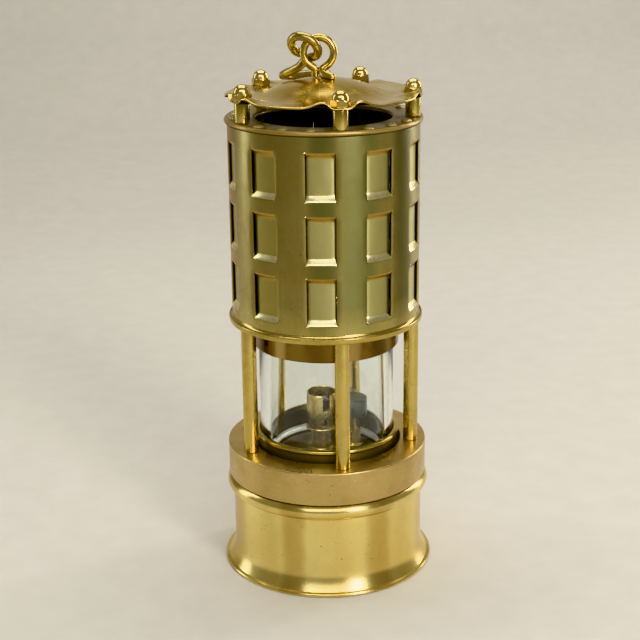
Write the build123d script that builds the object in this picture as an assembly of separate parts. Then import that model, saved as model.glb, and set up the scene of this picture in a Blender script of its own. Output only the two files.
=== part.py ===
from build123d import *
import math
import os

# Flame safety lamp: a brass fount with its burner and relighter, and a frame with the glass, gauzes,
# bonnet, crown and hanging hook that screws onto the fount.
# Millimetres, +Z up. The origin is the centre of the foot's flat underside and the front is -Y.
# An azimuth runs from the front (-Y) towards +X.

# ---- driving dimensions ------------------------------------------------------------------------
FOOT_R = 50.0                 # outer radius of the foot
BODY_R = 44.6                 # fount body
BEAD_R = 47.2                 # rounded bead at the fount's shoulder
RING_R = 47.0                 # lower ring of the frame
NECK_R = 40.0                 # threaded neck of the fount
NECK_WALL = 1.4
FOUNT_WALL = 1.4
RUN = 0.08                    # radial clearance of every turning or sliding fit

BASE_Z = 8.6                  # underside of the fount's base plate
BASE_T = 1.4
BODY_TOP_Z = 37.1
SHOULDER_Z = 44.4             # top of the bead, where the gasket lies
NECK_TOP_Z = 54.5
GASKET_T = 0.5
DECK_Z = 51.7                 # underside of the deck that closes the neck
DECK_T = 1.5
BOSS_TOP_Z = 55.0
BOSS_R = 24.5

RING_Z = SHOULDER_Z + GASKET_T
SHELF_Z = 55.5                # underside of the shelf that the glass seat bears on
RING_TOP_Z = 60.5
SHELF_R = 35.0

GLASS_R = 31.6
GLASS_WALL = 5.0
GLASS_Z = 57.0
GLASS_H = 60.0
GLASS_TOP_Z = GLASS_Z + GLASS_H
GLASS_PACKING = 1.2
SEAT_LIP_Z = 66.1

COLLAR_R = 34.0
COLLAR_Z = 108.5
FRAME_TOP_Z = 120.7           # top of the pillars and of the collar
MIDDLE_T = 3.0

POST_COUNT = 5
POST_CIRCLE_R = 40.0
POST_AZ = 10.0
POST_STEP = 360.0 / POST_COUNT
PILLAR_R = 3.25
ROD_R = 1.7
SPIGOT_R = 2.0

BONNET_R = 43.3
SHEET = 0.8
BONNET_FLANGE_R = 44.9
BONNET_FLANGE_H = 3.3
PLATE_R = 44.6
PLATE_HOLE_R = 30.7
PLATE_TOP_Z = 214.6
PLATE_T = 1.2
PLATE_SKIRT = 2.4

WINDOW_COLUMNS = 10
WINDOW_AZ = -2.4
WINDOW_ARC = 17.5
WINDOW_DEPTH = 1.5
WINDOW_ROWS = ((128.5, 150.5), (156.1, 178.0), (183.9, 205.5))
WINDOW_TOP_SLOPE = 2.8
WINDOW_BOTTOM_SLOPE = 3.2

RIVETS_PER_BAY = 3

CROWN_R = 44.0
CROWN_T = 1.0
CROWN_Z = 223.2               # underside of the brim, on the posts
CROWN_RISE = 7.0
CROWN_DOME_R = 60.0
CROWN_DOME_EDGE = 22.0
CROWN_BRIM_R = 36.5
NUT_FLATS_R = 3.85
NUT_HEX_H = 3.4
NUT_DOME_R = 3.6

EYE_X = -1.9
EYE_Z = 242.0
EYE_R = 6.7
EYE_WIRE_R = 1.5
EYE_LEG = 1.3                 # half the distance between the eye's two legs
HANGER_SHANK_R = 2.6

HOOK_WIRE_R = 1.75
HOOK_EYE_AT = (-8.0, 0.0, 244.6)
HOOK_EYE_R = 6.4
HOOK_TILT = 52.0              # slope of the hook's eye, front edge high
HOOK_YAW = -30.0              # and its right side forward
CROOK_X = -8.4
CROOK_R = 11.0

BURNER_X = -2.4
SPINDLE_R = 2.0
KNOB_Z = 2.0
KNOB_TOP_Z = 7.2
KNOB_R = 7.5
WICK_R = 3.4
WICK_TUBE_R = 4.5
SHROUD_R = 7.1
ADJUSTER_AT = (BURNER_X, 12.0)
RELIGHTER_AT = (13.4, 5.0)
FILLER_AT = (-10.0, -24.0)

DEEP = 400.0                  # length of a cut that passes right through


# ---- helpers -----------------------------------------------------------------------------------
def turned(*points):
    """A solid of revolution about Z from (radius, height) corners."""
    outline = Polyline(*[(r, 0, z) for r, z in points], close=True)
    return revolve(make_face(outline), Axis.Z)


def rod(r, low, high, at=(0.0, 0.0)):
    """A plain vertical cylinder."""
    return Pos(at[0], at[1], low) * Cylinder(r, high - low, align=(Align.CENTER, Align.CENTER, Align.MIN))


def tube(r_out, r_in, low, high, at=(0.0, 0.0)):
    """A plain vertical tube."""
    return rod(r_out, low, high, at) - rod(r_in, low - 1, high + 1, at)


def on_circle(r, azimuth):
    """The (x, y) point at a radius and azimuth."""
    turn = math.radians(azimuth)
    return (r * math.sin(turn), -r * math.cos(turn))


POST_PLACES = [on_circle(POST_CIRCLE_R, POST_AZ + POST_STEP * k) for k in range(POST_COUNT)]


def drilled(piece, r):
    """The piece with a hole at each of the frame's post places."""
    for at in POST_PLACES:
        piece -= rod(r, -1, DEEP, at)
    return piece


# ---- fount -------------------------------------------------------------------------------------
def fount_shell():
    """Foot, body, bead and neck, spun from one sheet."""
    inside = BODY_R - FOUNT_WALL
    bore = NECK_R - NECK_WALL
    foot_top = 9.2
    bead_mid = (BODY_TOP_Z + SHOULDER_Z) / 2
    bead_root = BEAD_R - 1.2
    outline = Curve() + [
        Line((FOOT_R - 2.6, 0, 0), (FOOT_R, 0, 0)),
        Line((FOOT_R, 0, 0), (FOOT_R, 0, 1.3)),
        ThreePointArc((FOOT_R, 0, 1.3), (46.9, 0, 4.4), (BODY_R + 1.1, 0, foot_top)),
        ThreePointArc((BODY_R + 1.1, 0, foot_top), (BODY_R + 0.9, 0, 10.2), (BODY_R, 0, 10.6)),
        Line((BODY_R, 0, 10.6), (BODY_R, 0, BODY_TOP_Z)),
        Line((BODY_R, 0, BODY_TOP_Z), (bead_root, 0, BODY_TOP_Z)),
        ThreePointArc((bead_root, 0, BODY_TOP_Z), (BEAD_R, 0, bead_mid), (bead_root, 0, SHOULDER_Z)),
        Line((bead_root, 0, SHOULDER_Z), (NECK_R, 0, SHOULDER_Z)),
        Line((NECK_R, 0, SHOULDER_Z), (NECK_R, 0, NECK_TOP_Z)),
        Line((NECK_R, 0, NECK_TOP_Z), (bore, 0, NECK_TOP_Z)),
        Line((bore, 0, NECK_TOP_Z), (bore, 0, SHOULDER_Z - FOUNT_WALL)),
        Line((bore, 0, SHOULDER_Z - FOUNT_WALL), (inside, 0, SHOULDER_Z - FOUNT_WALL)),
        Line((inside, 0, SHOULDER_Z - FOUNT_WALL), (inside, 0, BASE_Z)),
        Line((inside, 0, BASE_Z), (FOOT_R - 2.6, 0, 0)),
    ]
    return revolve(make_face(outline), Axis.Z)


def fount_base_plate():
    plate = rod(BODY_R - FOUNT_WALL, BASE_Z, BASE_Z + BASE_T)
    for at in (ADJUSTER_AT, RELIGHTER_AT):
        plate -= rod(4.2, 0, DEEP, at)
    return plate - rod(6.3, 0, DEEP, FILLER_AT)


def fount_deck():
    bore = NECK_R - NECK_WALL
    deck = turned((0, BOSS_TOP_Z - DECK_T), (BOSS_R - 1.6, BOSS_TOP_Z - DECK_T), (BOSS_R - 1.2, DECK_Z),
                  (bore, DECK_Z), (bore, DECK_Z + DECK_T), (BOSS_R, DECK_Z + DECK_T),
                  (BOSS_R - 0.4, BOSS_TOP_Z), (0, BOSS_TOP_Z))
    deck -= rod(WICK_TUBE_R, 0, DEEP, (BURNER_X, 0))
    return deck - rod(SPINDLE_R + RUN, 0, DEEP, RELIGHTER_AT)


def fuel_wadding():
    return tube(42.6, 20.5, 16.0, 42.0) - rod(8.0, 0, DEEP, FILLER_AT)


def gland(at):
    """A flanged bush in the base plate that a spindle turns in."""
    bush = rod(5.5, BASE_Z - 1.0, BASE_Z, at) + rod(4.2, BASE_Z, 14.0, at)
    return bush - rod(SPINDLE_R + RUN, 0, DEEP, at)


def filler_bush():
    bush = rod(7.5, BASE_Z - 0.8, BASE_Z, FILLER_AT) + rod(6.3, BASE_Z, 14.5, FILLER_AT)
    return bush - rod(5.0 + RUN, 0, DEEP, FILLER_AT)


# ---- burner and wick ---------------------------------------------------------------------------
def wick_tube():
    return tube(WICK_TUBE_R, WICK_R + 0.5, 40.0, 72.0, (BURNER_X, 0))


def burner_shroud():
    """Wide tube round the top of the wick, with a floor and a notch in its front."""
    at = (BURNER_X, 0)
    shroud = rod(SHROUD_R, 66.0, 83.0, at) - rod(SHROUD_R - 0.6, 67.0, DEEP, at)
    shroud -= rod(WICK_TUBE_R, 0, DEEP, at)
    notch = Pos(BURNER_X + 2.4, -SHROUD_R, 79.0) * Box(3.4, 6.0, 9.0)
    return shroud - notch


def wick():
    return rod(WICK_R, 18.0, 80.0, (BURNER_X, 0))


def wick_carrier():
    """Clamp round the wick with a nut on the adjuster's screw."""
    low, high = 22.0, 26.0
    arm = Pos(BURNER_X, ADJUSTER_AT[1] / 2, (low + high) / 2) * Box(4.0, ADJUSTER_AT[1], high - low)
    body = arm + rod(6.2, low, high, (BURNER_X, 0)) + rod(4.2, low, high, ADJUSTER_AT)
    return body - rod(WICK_R, 0, DEEP, (BURNER_X, 0)) - rod(SPINDLE_R + RUN, 0, DEEP, ADJUSTER_AT)


def wick_spindle():
    return rod(SPINDLE_R, KNOB_Z + 1, 44.0, ADJUSTER_AT) + rod(3.4, 14.3, 15.5, ADJUSTER_AT)


def wick_knob():
    """Knob under the base with finger scallops round its edge."""
    knob = rod(KNOB_R, KNOB_Z, KNOB_TOP_Z, ADJUSTER_AT)
    knob -= rod(SPINDLE_R, KNOB_Z + 1, DEEP, ADJUSTER_AT)
    scallops = 12
    for k in range(scallops):
        dx, dy = on_circle(KNOB_R + 0.7, 360.0 * k / scallops)
        knob -= rod(1.3, 0, DEEP, (ADJUSTER_AT[0] + dx, ADJUSTER_AT[1] + dy))
    return knob


# ---- relighter ---------------------------------------------------------------------------------
DRUM_R = 6.4
DRUM_Z, DRUM_TOP_Z = 70.2, 78.2
STRIKER_R = 3.4
FLINT_Z = 74.3
FLINT_TUBE_R = 2.5
FLINT_R = 1.4


def along_y(r, start, end):
    """A cylinder along Y at the flint's height, measured back from the relighter's axis."""
    x, y = RELIGHTER_AT
    lying = Rot(-90, 0, 0) * Cylinder(r, end - start, align=(Align.CENTER, Align.CENTER, Align.MIN))
    return Pos(x, y + start, FLINT_Z) * lying


def relighter_sealing_tube():
    return tube(3.2, SPINDLE_R + 0.4, 14.0, BOSS_TOP_Z - DECK_T, RELIGHTER_AT)


def relighter_stem():
    return tube(3.0, SPINDLE_R + 0.4, BOSS_TOP_Z, DRUM_Z, RELIGHTER_AT)


def relighter_housing():
    """Drum round the striker wheel, open on the burner's side."""
    drum = rod(DRUM_R, DRUM_Z, DRUM_TOP_Z, RELIGHTER_AT)
    drum -= rod(DRUM_R - 0.8, DRUM_Z + 0.8, DRUM_TOP_Z - 0.8, RELIGHTER_AT)
    drum -= rod(SPINDLE_R + RUN, DRUM_Z - 1, DRUM_TOP_Z - 0.8, RELIGHTER_AT)
    drum -= along_y(FLINT_TUBE_R, 4.0, 8.0)
    window = Pos(RELIGHTER_AT[0] - DRUM_R, RELIGHTER_AT[1], FLINT_Z) * Box(6.0, 7.0, 5.0)
    return drum - window


def flint_tube():
    return along_y(FLINT_TUBE_R, 4.6, 14.0) - along_y(FLINT_R + 0.1, 4.0, 15.0)


def flint():
    return along_y(FLINT_R, STRIKER_R + 0.3, 8.0)


def flint_spring():
    """Coil spring behind the flint."""
    x, y = RELIGHTER_AT
    wire = 0.28
    path = Helix(pitch=0.9, height=3.9, radius=FLINT_R - wire)
    profile = Plane(path @ 0, z_dir=path % 0) * Circle(wire)
    return Pos(x, y + 8.0 + wire, FLINT_Z) * Rot(-90, 0, 0) * sweep(profile, path=path)


def flint_screw():
    """Slotted screw that closes the flint tube."""
    screw = along_y(FLINT_R + 0.1, 12.6, 14.0) + along_y(FLINT_TUBE_R, 14.0, 15.2)
    slot = Pos(RELIGHTER_AT[0], RELIGHTER_AT[1] + 15.2, FLINT_Z) * Box(0.8, 1.2, 8.0)
    return screw - slot


def striker_wheel():
    wheel = rod(STRIKER_R, 72.0, 76.6, RELIGHTER_AT)
    return wheel - rod(SPINDLE_R - 0.4, 0, DEEP, RELIGHTER_AT)


def relighter_spindle():
    return rod(SPINDLE_R, KNOB_Z + 1, 72.0, RELIGHTER_AT) + rod(SPINDLE_R - 0.4, 72.0, 76.9, RELIGHTER_AT)


def relighter_key():
    """Winged key under the base."""
    x, y = RELIGHTER_AT
    key = Pos(x, y, (KNOB_Z + KNOB_TOP_Z) / 2) * Box(14.0, 2.6, KNOB_TOP_Z - KNOB_Z)
    key += rod(3.6, KNOB_Z, KNOB_TOP_Z, RELIGHTER_AT)
    return key - rod(SPINDLE_R, KNOB_Z + 1, DEEP, RELIGHTER_AT)


# ---- filler ------------------------------------------------------------------------------------
def filler_washer():
    return tube(7.2, 5.0 + RUN, 7.0, BASE_Z - 0.8, FILLER_AT)


def filler_plug():
    plug = rod(7.2, 2.2, 7.0, FILLER_AT) + rod(5.0, 7.0, 13.6, FILLER_AT)
    return plug - Pos(FILLER_AT[0], FILLER_AT[1], 2.2) * Box(20.0, 1.6, 3.0)


# ---- frame: rings, glass and pillars -----------------------------------------------------------
def fount_gasket():
    return tube(RING_R - 0.5, 41.0, SHOULDER_Z, RING_Z)


def lower_ring():
    bore = NECK_R + 0.1
    ring = turned((bore, RING_Z), (RING_R, RING_Z), (RING_R, RING_TOP_Z - 0.8), (RING_R - 0.8, RING_TOP_Z),
                  (SHELF_R, RING_TOP_Z), (SHELF_R, SHELF_Z), (bore, SHELF_Z))
    for at in POST_PLACES:
        ring -= rod(SPIGOT_R, SHELF_Z + 0.5, DEEP, at)
    return ring


def glass_seat_ring():
    """Flanged ring that carries the glass, with a rolled lip on its rim."""
    wall = GLASS_R + 0.3
    outer = wall + 1.3
    return turned((25.2, 53.5), (38.2, 53.5), (38.2, 54.8), (NECK_R + 0.1, 54.8), (NECK_R + 0.1, SHELF_Z),
                  (outer, SHELF_Z), (outer, SEAT_LIP_Z - 2.2), (outer + 0.7, SEAT_LIP_Z - 1.8),
                  (outer + 0.9, SEAT_LIP_Z - 1.1), (outer + 0.5, SEAT_LIP_Z - 0.3), (outer - 0.3, SEAT_LIP_Z),
                  (wall, SEAT_LIP_Z), (wall, SHELF_Z), (25.2, SHELF_Z))


def glass_cylinder():
    return tube(GLASS_R, GLASS_R - GLASS_WALL, GLASS_Z, GLASS_TOP_Z)


def glass_collar():
    """Cap on the top of the glass."""
    inner = GLASS_R + 0.4
    under = GLASS_TOP_Z + GLASS_PACKING
    return turned((inner, COLLAR_Z), (COLLAR_R, COLLAR_Z), (COLLAR_R, under + 1.0), (36.5, under + 1.0),
                  (36.5, FRAME_TOP_Z), (25.8, FRAME_TOP_Z), (25.8, under), (inner, under))


def middle_ring():
    return drilled(tube(BONNET_R - SHEET - 0.1, 25.8, FRAME_TOP_Z, FRAME_TOP_Z + MIDDLE_T), ROD_R)


def pillars():
    pieces = []
    for at in POST_PLACES:
        pillar = rod(PILLAR_R, RING_TOP_Z, FRAME_TOP_Z, at) + rod(SPIGOT_R, SHELF_Z + 0.5, RING_TOP_Z, at)
        pieces.append(pillar - rod(ROD_R, 110.0, DEEP, at))
    return Compound(pieces)


def tie_rods():
    return Compound([rod(ROD_R, 110.0, 228.4, at) for at in POST_PLACES])


# ---- gauzes ------------------------------------------------------------------------------------
GAUZE_T = 0.6
GAUZE_Z = FRAME_TOP_Z + MIDDLE_T


def gauze(base_r, top_r, top_z):
    """A tapered cap of wire gauze, closed at the top."""
    return turned((base_r, GAUZE_Z), (top_r, top_z), (0, top_z), (0, top_z - GAUZE_T),
                  (top_r - GAUZE_T, top_z - GAUZE_T), (base_r - GAUZE_T, GAUZE_Z))


def gauze_ring():
    """Ring that clamps the two gauzes' hems to the middle ring."""
    return tube(33.0, 27.7, GAUZE_Z, GAUZE_Z + 2.5)


# ---- bonnet ------------------------------------------------------------------------------------
def arc_piece(points, azimuth):
    """A profile of (radius, height) corners swept round the window's arc, centred on an azimuth."""
    outline = Polyline(*[(r, 0, z) for r, z in points], close=True)
    piece = revolve(make_face(outline), Axis.Z, revolution_arc=WINDOW_ARC)
    return Rot(0, 0, azimuth - 90.0 - WINDOW_ARC / 2) * piece


def window_panel(low, high, azimuth):
    """The part of the sheet pressed inwards behind a window, joined at its top and bottom."""
    out, back = BONNET_R, BONNET_R - WINDOW_DEPTH
    top, bottom = high - WINDOW_TOP_SLOPE, low + WINDOW_BOTTOM_SLOPE
    return arc_piece([(out, high), (back, top), (back, bottom), (out, low), (out - SHEET, low),
                      (back - SHEET, bottom), (back - SHEET, top), (out - SHEET, high)], azimuth)


def window_hole(low, high, azimuth):
    inner, outer = BONNET_R - SHEET - 0.5, BONNET_R + 0.5
    return arc_piece([(inner, low), (outer, low), (outer, high), (inner, high)], azimuth)


def bonnet_shell():
    """Sheet cylinder with a rolled foot, an inturned top and three rows of pressed windows."""
    top = PLATE_TOP_Z - PLATE_T
    inner = BONNET_R - SHEET
    foot_top = FRAME_TOP_Z + BONNET_FLANGE_H
    shell = turned((inner, FRAME_TOP_Z), (BONNET_FLANGE_R - 0.7, FRAME_TOP_Z),
                   (BONNET_FLANGE_R, FRAME_TOP_Z + 0.8), (BONNET_FLANGE_R, foot_top - 0.8),
                   (BONNET_FLANGE_R - 0.7, foot_top), (BONNET_R, foot_top), (BONNET_R, top),
                   (37.0, top), (37.0, top - SHEET), (inner, top - SHEET))
    places = [(low, high, WINDOW_AZ + 360.0 / WINDOW_COLUMNS * column)
              for low, high in WINDOW_ROWS for column in range(WINDOW_COLUMNS)]
    shell = shell - [window_hole(*place) for place in places]
    shell = shell + [window_panel(*place) for place in places]
    for at in POST_PLACES:
        shell -= rod(ROD_R, top - 2, DEEP, at)
    for at in rivet_places():
        shell -= rod(0.9, top - 2, DEEP, at)
    return shell


def rivet_places():
    step = POST_STEP / (RIVETS_PER_BAY + 1)
    return [on_circle(POST_CIRCLE_R, POST_AZ + POST_STEP * bay + step * (k + 1))
            for bay in range(POST_COUNT) for k in range(RIVETS_PER_BAY)]


def bonnet_top_plate():
    under = PLATE_TOP_Z - PLATE_T
    skirt = PLATE_TOP_Z - PLATE_SKIRT
    plate = turned((PLATE_HOLE_R, under), (BONNET_R, under), (BONNET_R, skirt), (PLATE_R - 0.4, skirt),
                   (PLATE_R, skirt + 0.4), (PLATE_R, PLATE_TOP_Z - 0.4), (PLATE_R - 0.4, PLATE_TOP_Z),
                   (PLATE_HOLE_R, PLATE_TOP_Z))
    plate = drilled(plate, ROD_R)
    for at in rivet_places():
        plate -= rod(0.9, 0, DEEP, at)
    return plate


def top_plate_rivets():
    under = PLATE_TOP_Z - PLATE_T - SHEET
    pieces = []
    for x, y in rivet_places():
        head = turned((0, under - 0.6), (1.4, under - 0.6), (1.4, under), (0.9, under), (0.9, PLATE_TOP_Z),
                      (2.3, PLATE_TOP_Z), (1.9, PLATE_TOP_Z + 0.45), (1.1, PLATE_TOP_Z + 0.72), (0, PLATE_TOP_Z + 0.8))
        pieces.append(Pos(x, y, 0) * head)
    return Compound(pieces)


# ---- crown and hanger --------------------------------------------------------------------------
def crown_posts():
    return Compound([tube(PILLAR_R, ROD_R, PLATE_TOP_Z, CROWN_Z, at) for at in POST_PLACES])


def crown_section(lift):
    """One face line of the crown: dome, hollow and flat brim, from the middle outwards."""
    apex = CROWN_Z + CROWN_RISE + lift
    drop = CROWN_DOME_R - math.sqrt(CROWN_DOME_R ** 2 - CROWN_DOME_EDGE ** 2)
    half = CROWN_DOME_EDGE / 2
    half_drop = CROWN_DOME_R - math.sqrt(CROWN_DOME_R ** 2 - half ** 2)
    dome = ThreePointArc((0, 0, apex), (half, 0, apex - half_drop), (CROWN_DOME_EDGE, 0, apex - drop))
    brim = (CROWN_BRIM_R, 0, CROWN_Z + lift)
    hollow = TangentArc(dome @ 1, brim, tangent=dome % 1)
    flat = Line(brim, (CROWN_R, 0, CROWN_Z + lift))
    return [dome, hollow, flat]


def crown():
    lower = crown_section(0.0)
    upper = crown_section(CROWN_T)
    edges = lower + upper
    edges.append(Line(lower[0] @ 0, upper[0] @ 0))
    edges.append(Line(lower[2] @ 1, upper[2] @ 1))
    dome = revolve(make_face(Curve() + edges), Axis.Z)
    return drilled(dome, ROD_R) - rod(HANGER_SHANK_R, 0, DEEP, (EYE_X, 0))


def crown_nuts():
    pieces = []
    low = CROWN_Z + CROWN_T
    for k, (x, y) in enumerate(POST_PLACES):
        hexagon = extrude(RegularPolygon(NUT_FLATS_R, 6, major_radius=False), NUT_HEX_H)
        nut = hexagon + Pos(0, 0, NUT_HEX_H) * Sphere(NUT_DOME_R)
        nut = Pos(x, y, low) * Rot(0, 0, POST_AZ + POST_STEP * k) * nut
        pieces.append(nut - rod(ROD_R, low - 8, 228.4, (x, y)))
    return Compound(pieces)


def bent_wire(path, r):
    """A round wire along a path."""
    return sweep(Plane(path @ 0, z_dir=path % 0) * Circle(r), path=path)


def hanger_eye():
    """Wire eye that stands on a riveted shank in the crown's middle."""
    apex = CROWN_Z + CROWN_RISE + CROWN_T
    gap = math.degrees(math.asin(EYE_LEG / EYE_R))
    loop = CenterArc((0, 0, 0), EYE_R, -90 + gap, 360 - 2 * gap)
    loop = Pos(EYE_X, 0, EYE_Z) * Rot(90, 0, 0) * loop
    eye = bent_wire(loop, EYE_WIRE_R)
    leg_top = EYE_Z - EYE_R * math.cos(math.radians(gap))
    for side in (-1, 1):
        leg_at = (EYE_X + side * EYE_LEG, 0)
        eye += rod(EYE_WIRE_R, apex, leg_top, leg_at)
        eye += Pos(leg_at[0], 0, leg_top) * Sphere(EYE_WIRE_R)
    eye += rod(3.9, apex, apex + 1.4, (EYE_X, 0))
    return eye + rod(HANGER_SHANK_R, 226.6, apex, (EYE_X, 0))


def hanger_washer():
    under = CROWN_Z + CROWN_RISE - 0.5
    return tube(5.5, HANGER_SHANK_R, under - 1.2, under, (EYE_X, 0))


def hook():
    """One bent wire: a closed eye round the hanger, a swept shank and a crook behind the bonnet."""
    tilt, yaw = math.radians(HOOK_TILT), math.radians(HOOK_YAW)
    rear_x, _, rear_z = HOOK_EYE_AT
    rear = (rear_x - HOOK_EYE_R * math.cos(tilt) * math.sin(yaw), HOOK_EYE_R * math.cos(tilt) * math.cos(yaw),
            rear_z - HOOK_EYE_R * math.sin(tilt))
    ring = Pos(*HOOK_EYE_AT) * Rot(0, 0, HOOK_YAW) * Rot(-HOOK_TILT, 0, 0) * Torus(HOOK_EYE_R, HOOK_WIRE_R)
    shank_x = CROOK_X + CROOK_R
    back_y = 46.9
    crook_z = 204.0
    route = [rear, (-9.4, 8.2, 234.6), (-15.2, 13.0, 231.6), (-18.6, 19.5, 229.6), (-15.0, 28.0, 228.3),
             (-3.0, 36.0, 228.0), (shank_x, 45.6, 227.4), (shank_x, back_y, 219.0), (shank_x, back_y, crook_z)]
    bends = [3.0, 4.5, 5.5, 6.0, 8.0, 5.0, 12.0]
    shank = FilletPolyline(*route, radius=bends)
    crook = ThreePointArc((shank_x, back_y, crook_z), (CROOK_X, back_y, crook_z - CROOK_R),
                          (CROOK_X - CROOK_R, back_y, crook_z))
    tip = Line((CROOK_X - CROOK_R, back_y, crook_z), (CROOK_X - CROOK_R, back_y, crook_z + 7.0))
    wire = bent_wire(shank, HOOK_WIRE_R) + bent_wire(crook, HOOK_WIRE_R) + bent_wire(tip, HOOK_WIRE_R)
    ball = Pos(CROOK_X - CROOK_R, back_y, crook_z + 7.0) * Sphere(HOOK_WIRE_R)
    return wire + ball + ring


# ---- every node --------------------------------------------------------------------------------
NODES = {
    "fount_shell": fount_shell,
    "fount_base_plate": fount_base_plate,
    "fount_deck": fount_deck,
    "fuel_wadding": fuel_wadding,
    "wick_gland": lambda: gland(ADJUSTER_AT),
    "relighter_gland": lambda: gland(RELIGHTER_AT),
    "filler_bush": filler_bush,
    "wick_tube": wick_tube,
    "burner_shroud": burner_shroud,
    "relighter_sealing_tube": relighter_sealing_tube,
    "relighter_stem": relighter_stem,
    "relighter_housing": relighter_housing,
    "flint_tube": flint_tube,
    "flint": flint,
    "flint_spring": flint_spring,
    "flint_screw": flint_screw,
    "wick": wick,
    "wick_carrier": wick_carrier,
    "wick_spindle": wick_spindle,
    "wick_knob": wick_knob,
    "relighter_spindle": relighter_spindle,
    "striker_wheel": striker_wheel,
    "relighter_key": relighter_key,
    "filler_washer": filler_washer,
    "filler_plug": filler_plug,
    "fount_gasket": fount_gasket,
    "lower_ring": lower_ring,
    "glass_seat_ring": glass_seat_ring,
    "lower_glass_gasket": lambda: tube(GLASS_R + 0.1, 25.6, SHELF_Z, GLASS_Z),
    "glass_cylinder": glass_cylinder,
    "upper_glass_gasket": lambda: tube(GLASS_R, GLASS_R - GLASS_WALL, GLASS_TOP_Z, GLASS_TOP_Z + GLASS_PACKING),
    "glass_collar": glass_collar,
    "middle_ring": middle_ring,
    "gauze_inner": lambda: gauze(24.0, 19.0, 186.0),
    "gauze_outer": lambda: gauze(27.5, 22.5, 194.0),
    "gauze_ring": gauze_ring,
    "pillars": pillars,
    "tie_rods": tie_rods,
    "bonnet_shell": bonnet_shell,
    "bonnet_top_plate": bonnet_top_plate,
    "top_plate_rivets": top_plate_rivets,
    "crown_posts": crown_posts,
    "crown": crown,
    "crown_nuts": crown_nuts,
    "hanger_eye": hanger_eye,
    "hanger_washer": hanger_washer,
    "hook": hook,
}

os.makedirs("parts", exist_ok=True)
for name, build in NODES.items():
    export_step(build(), f"parts/{name}.step")
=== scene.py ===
import random
from functools import cached_property
from math import atan2, cos, degrees, exp, hypot, pi, radians, sin, sqrt, tan

import bpy
from mathutils import Matrix, Vector

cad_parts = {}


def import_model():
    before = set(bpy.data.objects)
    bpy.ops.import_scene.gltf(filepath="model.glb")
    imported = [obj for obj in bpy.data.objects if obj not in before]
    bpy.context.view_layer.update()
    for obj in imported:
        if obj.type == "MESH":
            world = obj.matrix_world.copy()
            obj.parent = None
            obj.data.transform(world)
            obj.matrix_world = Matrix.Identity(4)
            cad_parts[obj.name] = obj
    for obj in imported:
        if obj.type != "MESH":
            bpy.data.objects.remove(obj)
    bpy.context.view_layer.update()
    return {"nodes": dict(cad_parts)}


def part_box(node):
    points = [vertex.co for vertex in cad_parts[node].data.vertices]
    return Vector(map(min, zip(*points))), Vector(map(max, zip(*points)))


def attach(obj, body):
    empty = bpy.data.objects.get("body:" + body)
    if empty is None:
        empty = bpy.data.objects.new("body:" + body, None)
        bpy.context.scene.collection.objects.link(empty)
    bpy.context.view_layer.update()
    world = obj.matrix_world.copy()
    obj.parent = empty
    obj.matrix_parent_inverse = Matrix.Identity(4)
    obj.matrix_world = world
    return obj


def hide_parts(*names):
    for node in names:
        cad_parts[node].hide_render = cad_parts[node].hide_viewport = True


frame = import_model()

# The lamp is modelled in millimetres about its own axis, +Z up with the front at -Y, and MM turns a
# length into Blender's metres. An azimuth runs from the front (-Y) towards +X, in degrees.
MM = 0.001
TAU = 2 * pi
random.seed(7)


# ---- what the frame says ----
def level(node):
    """(lowest z, highest z) of a CAD node."""
    low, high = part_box(node)
    return low[2] / MM, high[2] / MM


def reach(node):
    """The outer radius of a CAD node that is round about the lamp's axis."""
    low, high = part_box(node)
    return max(high[0], high[1], -low[0], -low[1]) / MM


def middle(node):
    """(x, y) of the middle of a CAD node's box."""
    low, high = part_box(node)
    return (low[0] + high[0]) / 2 / MM, (low[1] + high[1]) / 2 / MM


FOOT_R, NECK_TOP = reach("fount_shell"), level("fount_shell")[1]
SHOULDER_Z = level("fount_gasket")[0]
RING_R, (RING_Z, RING_TOP) = reach("lower_ring"), level("lower_ring")
GLASS_R, (GLASS_Z, GLASS_TOP) = reach("glass_cylinder"), level("glass_cylinder")
SEAT_Z, SEAT_TOP = level("glass_seat_ring")
COLLAR_Z, COLLAR_TOP = level("glass_collar")
FLANGE_R, (BONNET_Z, BONNET_TOP) = reach("bonnet_shell"), level("bonnet_shell")
PLATE_R, (PLATE_Z, PLATE_TOP) = reach("bonnet_top_plate"), level("bonnet_top_plate")
CROWN_R, CROWN_Z = reach("crown"), level("crown")[0]
POST_Z, POST_TOP = level("crown_posts")
NUT_TOP = level("crown_nuts")[1]
WICK_Z, WICK_TOP = level("wick")
BURNER_AT = middle("burner_shroud")
RELIGHTER_AT = middle("relighter_spindle")

NECK_R, THREAD_PITCH = 40.0, 1.5
GLASS_WALL = 5.0
SEAT_SHELF = SEAT_Z + 2.0
BONNET_R, SHEET = 43.3, 0.8
POST_COUNT, POST_CIRCLE, POST_AZ = 5, 40.0, 10.0
POST_STEP = 360.0 / POST_COUNT


def polar(r, azimuth):
    """The (x, y) point at a radius and azimuth."""
    turn = radians(azimuth)
    return r * sin(turn), -r * cos(turn)


POSTS = [polar(POST_CIRCLE, POST_AZ + POST_STEP * k) for k in range(POST_COUNT)]


def smooth(a, b, x):
    """0 below a, 1 above b and a smooth step between."""
    t = min(max((x - a) / (b - a), 0.0), 1.0)
    return t * t * (3 - 2 * t)


# ---- mesh helpers ----
def add_object(name, data):
    made = bpy.data.objects.new(name, data)
    bpy.context.scene.collection.objects.link(made)
    return made


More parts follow.
